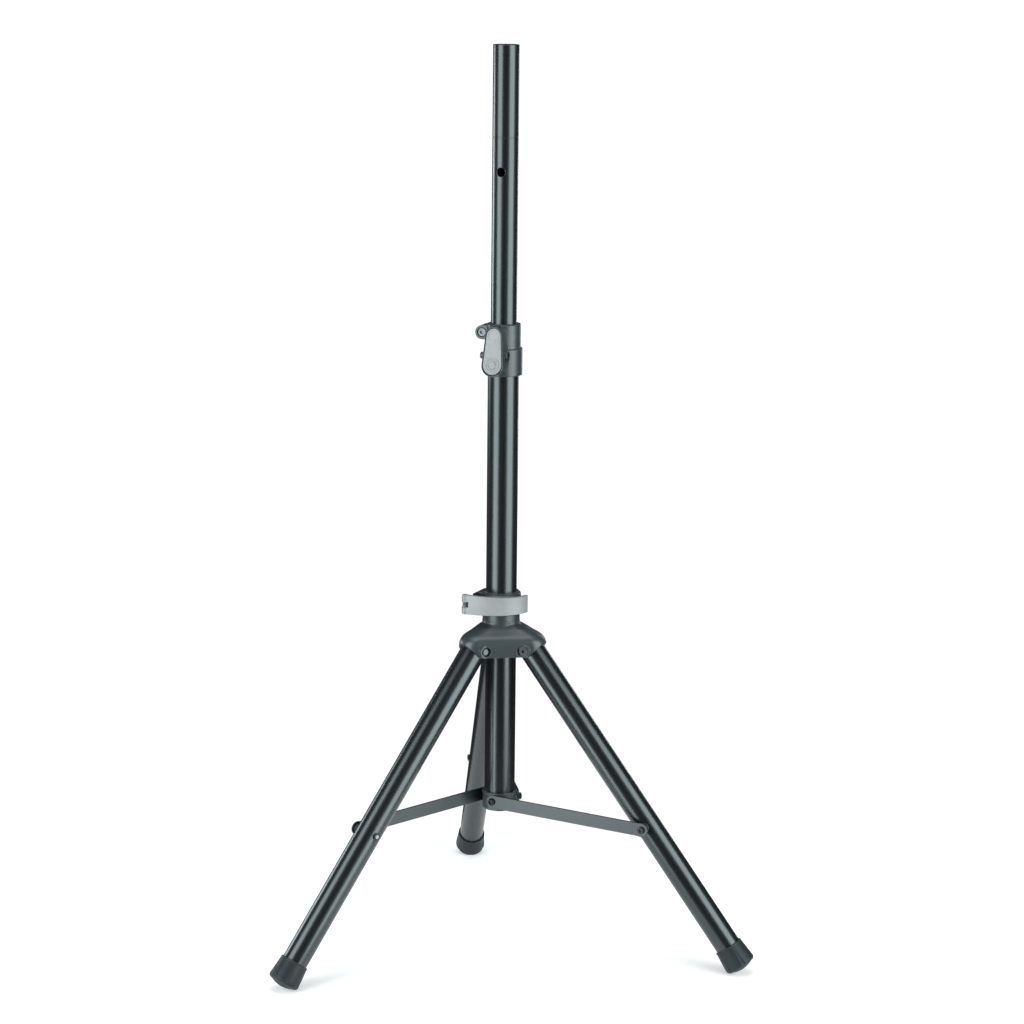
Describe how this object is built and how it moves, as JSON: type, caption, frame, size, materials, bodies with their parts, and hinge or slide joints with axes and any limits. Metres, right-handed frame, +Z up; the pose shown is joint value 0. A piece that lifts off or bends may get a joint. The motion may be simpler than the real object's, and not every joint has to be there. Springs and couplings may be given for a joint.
{
  "type": "speaker tripod stand",
  "caption": "Folding tripod floor stand with a telescoping pole, a rocker pole lock, a sliding hub with a band-lever clamp, round legs and flat braces, for a loudspeaker.",
  "frame": {"origin": "on the pole's axis at floor level, where the foot caps rest", "axes": "+Z up the pole, +Y from the pole towards the rear leg's foot"},
  "size_m": [0.654, 0.5723, 1.235],
  "materials": {
    "tube_black": "satin black powder coat on steel tube",
    "brace_steel": "satin dark grey powder coat on flat steel",
    "dark_plastic": "fine-textured glass-filled nylon",
    "lever_silver": "satin die-cast, lightly brushed",
    "black_steel": "black oxide",
    "plain_steel": "zinc plated",
    "foot_rubber": "moulded rubber"
  },
  "bodies": {
    "pole": {"outer_tube": "tube_black", "tube_end_plug": "dark_plastic", "brace_collar": "dark_plastic", "collar_screws": "black_steel", "clamp_housing": "dark_plastic", "clamp_bush": "dark_plastic", "clamp_screw": "plain_steel", "clamp_nut": "plain_steel", "lock_cross_pin": "plain_steel", "lock_spring": "plain_steel"},
    "top_pole": {"inner_tube": "tube_black", "inner_tube_guide": "dark_plastic", "tube_top_plug": "dark_plastic"},
    "lock_rocker": {"lock_lever": "lever_silver"},
    "lock_bolt": {"lock_pin": "plain_steel"},
    "hub": {"hub_body": "dark_plastic", "hub_bush": "dark_plastic", "hub_pivot_bolts": "black_steel", "hub_pivot_nuts": "black_steel", "clamp_collar": "dark_plastic", "lever_pin": "plain_steel", "draw_bolt": "plain_steel", "draw_nut": "plain_steel"},
    "band": {"ring_lever": "lever_silver"},
    "rear_leg": {"leg_tube_rear": "tube_black", "leg_plug_rear": "dark_plastic", "foot_cap_rear": "foot_rubber", "brace_spacer_rear": "dark_plastic", "brace_bolt_rear": "black_steel"},
    "rear_stay": {"brace_rear": "brace_steel", "brace_screw_rear": "black_steel"},
    "left_leg": {"leg_tube_left": "tube_black", "leg_plug_left": "dark_plastic", "foot_cap_left": "foot_rubber", "brace_spacer_left": "dark_plastic", "brace_bolt_left": "black_steel"},
    "left_stay": {"brace_left": "brace_steel", "brace_screw_left": "black_steel"},
    "right_leg": {"leg_tube_right": "tube_black", "leg_plug_right": "dark_plastic", "foot_cap_right": "foot_rubber", "brace_spacer_right": "dark_plastic", "brace_bolt_right": "black_steel"},
    "right_stay": {"brace_right": "brace_steel", "brace_screw_right": "black_steel"}
  },
  "joints": [
    {"name": "top_pole_slide", "type": "slide", "parent": "pole", "child": "top_pole", "axis": [0, 0, 1], "range_m": [-0.25, 0.25]},
    {"name": "rocker_press", "type": "hinge", "parent": "pole", "child": "lock_rocker", "pos_m": [-0.01339, -0.02628, 0.826], "axis": [0.891, -0.454, 0], "range_deg": [0, 6], "stiffness_Nm_per_rad": 0.9, "springref_deg": -8.59},
    {"name": "lock_bolt_slide", "type": "slide", "parent": "pole", "child": "lock_bolt", "axis": [-0.454, -0.891, 0], "range_m": [0, 0.0023]},
    {"name": "hub_slide", "type": "slide", "parent": "pole", "child": "hub", "axis": [0, 0, 1], "range_m": [0, 0.2836]},
    {"name": "band_open", "type": "hinge", "parent": "hub", "child": "band", "pos_m": [-0.05168, -0.01523, 0.4835], "axis": [0, 0, -1], "range_deg": [0, 110]},
    {"name": "rear_leg_fold", "type": "hinge", "parent": "hub", "child": "rear_leg", "pos_m": [0, 0.044, 0.4225], "axis": [-1, 0, 0], "range_deg": [0, 35.9]},
    {"name": "rear_stay_swing", "type": "hinge", "parent": "pole", "child": "rear_stay", "pos_m": [0.0257, 0, 0.2035], "axis": [1, 0, 0], "range_deg": [0, 79.19]},
    {"name": "left_leg_fold", "type": "hinge", "parent": "hub", "child": "left_leg", "pos_m": [-0.03811, -0.022, 0.4225], "axis": [0.5, -0.866, 0], "range_deg": [0, 35.9]},
    {"name": "left_stay_swing", "type": "hinge", "parent": "pole", "child": "left_stay", "pos_m": [-0.01285, 0.02226, 0.2035], "axis": [-0.5, 0.866, 0], "range_deg": [0, 79.19]},
    {"name": "right_leg_fold", "type": "hinge", "parent": "hub", "child": "right_leg", "pos_m": [0.03811, -0.022, 0.4225], "axis": [0.5, 0.866, 0], "range_deg": [0, 35.9]},
    {"name": "right_stay_swing", "type": "hinge", "parent": "pole", "child": "right_stay", "pos_m": [-0.01285, -0.02226, 0.2035], "axis": [-0.5, -0.866, 0], "range_deg": [0, 79.19]}
  ],
  "couplings": [
    {"joint": "lock_bolt_slide", "follows": "rocker_press", "m_per_rad": 0.021963},
    {"joint": "rear_leg_fold", "follows": "hub_slide", "rad_per_m": 2.2094},
    {"joint": "rear_stay_swing", "follows": "hub_slide", "rad_per_m": 4.8736},
    {"joint": "left_leg_fold", "follows": "hub_slide", "rad_per_m": 2.2094},
    {"joint": "left_stay_swing", "follows": "hub_slide", "rad_per_m": 4.8736},
    {"joint": "right_leg_fold", "follows": "hub_slide", "rad_per_m": 2.2094},
    {"joint": "right_stay_swing", "follows": "hub_slide", "rad_per_m": 4.8736}
  ]
}
